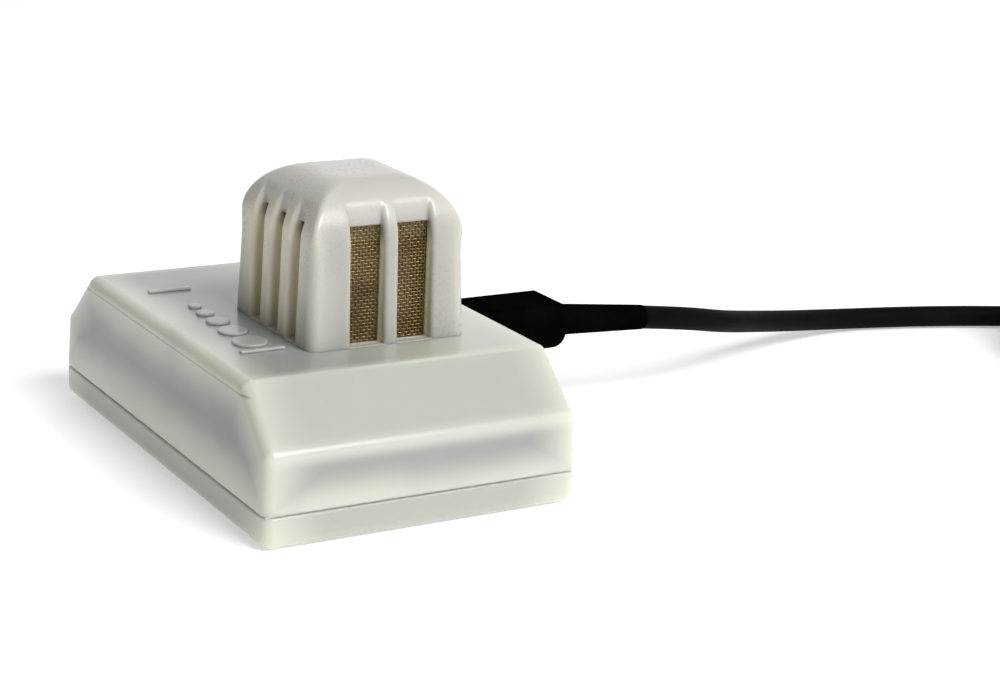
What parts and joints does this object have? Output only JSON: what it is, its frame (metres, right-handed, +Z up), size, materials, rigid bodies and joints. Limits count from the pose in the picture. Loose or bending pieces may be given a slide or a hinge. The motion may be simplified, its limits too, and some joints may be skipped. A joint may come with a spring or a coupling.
{
  "type": "soil moisture sensor",
  "caption": "Soil moisture sensor: sloped two-part housing with a vented, mesh-screened cap over the sensing block and a plug-in lead ending in a jack.",
  "frame": {"origin": "centre of the housing's flat underside, on the surface it stands on", "axes": "+Z up out of the cap, +Y along the housing's long side, +X out of the end wall that the lead plugs into"},
  "size_m": [0.222, 0.1073, 0.0454],
  "materials": {
    "housing_plastic": "satin translucent moulding",
    "cap_plastic": "satin translucent moulding",
    "seal_rubber": "matt",
    "screw_steel": "zinc plated",
    "screen_brass": "woven wire, tarnished",
    "carrier_plastic": "matt",
    "porous_block": "porous, matt",
    "probe_steel": "bright",
    "bead_glass": "clear",
    "board_laminate": "solder mask",
    "chip_plastic": "matt",
    "can_metal": "satin",
    "resistor_ceramic": "matt",
    "socket_plastic": "satin",
    "contact_brass": "bright",
    "plug_rubber": "satin black moulding",
    "cable_jacket": "satin black jacket",
    "tie_fabric": "woven strap",
    "jack_metal": "nickel plated",
    "jack_insulator": "matt"
  },
  "bodies": {
    "sensor": {"amplifier_chip": "chip_plastic", "base_plate": "housing_plastic", "board_header": "chip_plastic", "board_screws": "screw_steel", "cable_socket": "socket_plastic", "cap_gasket": "seal_rubber", "cap_screws": "screw_steel", "chip_resistors": "resistor_ceramic", "controller_chip": "chip_plastic", "electrode_rods": "probe_steel", "element_carrier": "carrier_plastic", "housing_gasket": "seal_rubber", "housing_screws": "screw_steel", "main_board": "board_laminate", "mesh_screen": "screen_brass", "raised_marks": "housing_plastic", "screen_cage": "carrier_plastic", "sensing_block": "porous_block", "smoothing_capacitors": "can_metal", "socket_pins": "contact_brass", "socket_seal": "seal_rubber", "temperature_bead": "bead_glass", "timing_crystal": "can_metal", "top_housing": "housing_plastic", "vented_cap": "cap_plastic"},
    "plug_lead": {"cable_plug": "plug_rubber", "plug_nose": "socket_plastic", "plug_contacts": "contact_brass", "strain_relief": "plug_rubber", "cable": "cable_jacket", "cable_coil": "cable_jacket", "cable_tail": "cable_jacket", "coil_tie": "tie_fabric", "jack_relief": "plug_rubber", "jack_body": "plug_rubber", "jack_sleeve": "jack_metal", "jack_ring": "jack_metal", "jack_tip": "jack_metal", "jack_insulators": "jack_insulator"}
  },
  "joints": [
    {"name": "plug_pull", "type": "slide", "parent": "sensor", "child": "plug_lead", "axis": [1, 0, 0], "range_m": [0, 0.0065]}
  ]
}
